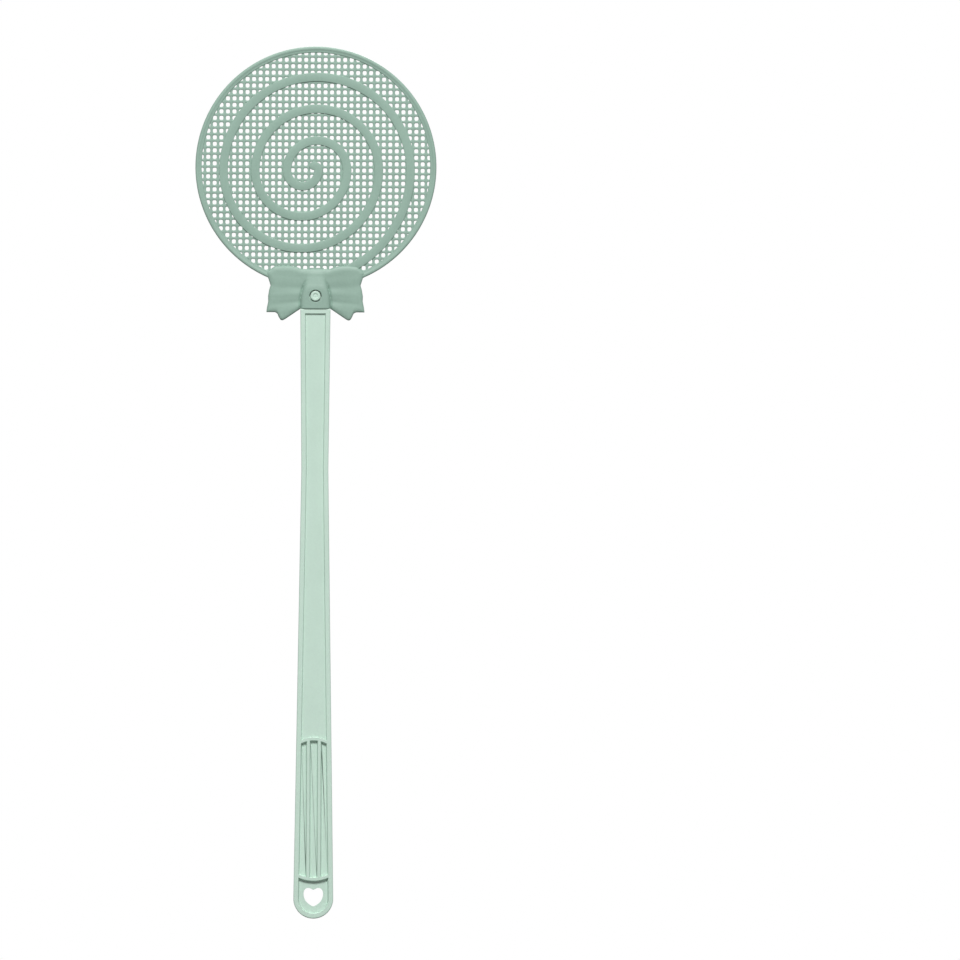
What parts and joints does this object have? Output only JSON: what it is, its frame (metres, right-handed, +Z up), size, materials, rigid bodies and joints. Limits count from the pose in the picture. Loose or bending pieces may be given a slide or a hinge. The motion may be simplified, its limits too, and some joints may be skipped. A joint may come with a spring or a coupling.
{
  "type": "fly swatter",
  "caption": "Long flat plastic fly swatter: a round net head with a spiral ribbon and a bow, snapped onto a ribbed handle with a heart-shaped hang hole.",
  "frame": {"origin": "middle of the ribbed grip, halfway through the handle's thickness", "axes": "+Z up the handle to the head, +X across the head, -Y out of the front, which shows the snap stud"},
  "size_m": [0.1204, 0.0064, 0.436],
  "materials": {
    "head_plastic": "satin, fine moulded grain, sage green",
    "handle_plastic": "satin, pale mint green"
  },
  "bodies": {
    "handle": {"handle": "handle_plastic", "snap_stud": "handle_plastic"},
    "head": {"head": "head_plastic"}
  },
  "joints": [
    {"name": "head_pull", "type": "slide", "parent": "handle", "child": "head", "axis": [0, 0, 1], "range_m": [0, 0.018], "deforming": ["snap_stud"]}
  ]
}
